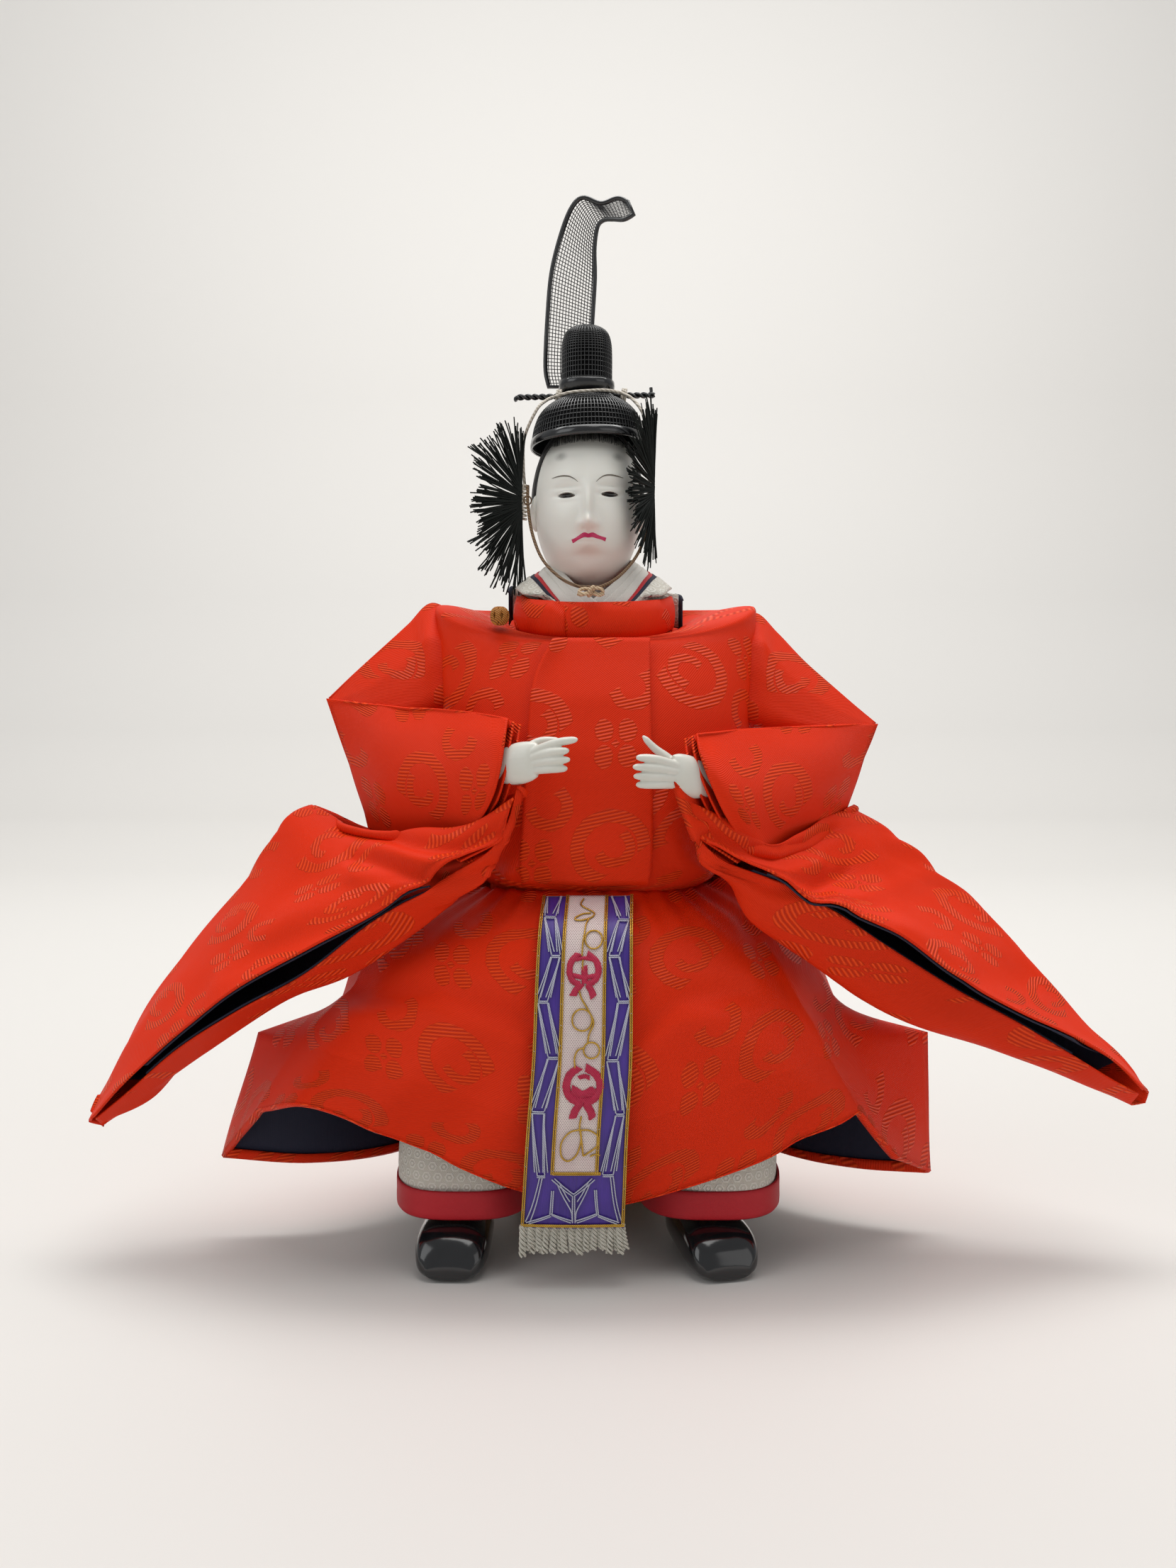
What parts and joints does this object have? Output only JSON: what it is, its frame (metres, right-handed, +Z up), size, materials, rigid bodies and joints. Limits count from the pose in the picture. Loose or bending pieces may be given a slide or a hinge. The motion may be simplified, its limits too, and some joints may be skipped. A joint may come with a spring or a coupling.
{
  "type": "seated court minister hina doll",
  "caption": "Court-dressed festival doll with net cap and tail, damask robe with long hanging sleeves, sash, trousers and lacquered shoes.",
  "frame": {"origin": "middle of the seat block's flat foot, at table level under the doll's middle plane", "axes": "+Z up, the doll faces -Y, its left hand is at +X"},
  "size_m": [0.2754, 0.107, 0.2839],
  "materials": {
    "silk": "satin twill with raised damask",
    "navy": "plain lining cloth",
    "brocade": "woven brocade",
    "crimson": "ribbed hem cloth",
    "embroidery": "embroidered band",
    "white_thread": "twisted thread",
    "white_cloth": "plain cloth",
    "belt": "plain cloth",
    "face": "polished shell white",
    "white_lacquer": "shell-white lacquer",
    "glass": "dark glass",
    "hair": "silk hair",
    "mesh_lacquer": "lacquered net",
    "lacquer": "black lacquer",
    "wire": "black wire",
    "cord": "braided cord",
    "bristle": "stiff bristle",
    "straw": "bound straw",
    "wood": "plain wood"
  },
  "bodies": {
    "root": {"seat_block": "wood", "torso_core": "straw", "arm_wire": "wire", "leg_right": "wood", "leg_left": "wood", "shoe_right": "lacquer", "shoe_left": "lacquer", "hakama_right": "brocade", "hakama_left": "brocade", "hakama_hem_right": "crimson", "hakama_hem_left": "crimson", "head": "face", "eye_right": "glass", "eye_left": "glass", "neck_peg": "face", "hair": "hair", "hat_bowl": "mesh_lacquer", "hat_rim": "lacquer", "hat_crown": "mesh_lacquer", "hat_crown_band": "lacquer", "hat_pin": "wire", "hat_tail_net": "mesh_lacquer", "hat_tail_frame": "wire", "robe_body": "silk", "robe_front_panel": "silk", "sleeve_right": "silk", "sleeve_left": "silk", "sleeve_lining_right": "navy", "sleeve_lining_left": "navy", "robe_skirt": "silk", "skirt_lining": "navy", "waist_belt": "belt", "sash": "embroidery", "sash_fringe": "white_thread", "inner_collar": "white_cloth", "collar_red_piping": "crimson", "collar_navy_piping": "navy", "collar_cream": "brocade", "robe_neckband": "silk", "collar_knot": "cord", "hat_cord": "white_cloth", "chin_cord": "cord", "chin_knot": "white_cloth", "ear_ring": "wire", "ear_fan_right": "bristle", "ear_fan_left": "bristle", "ear_fan_core_right": "white_cloth", "ear_fan_core_left": "white_cloth", "hand_right": "white_lacquer", "hand_left": "white_lacquer"}
  },
  "joints": []
}
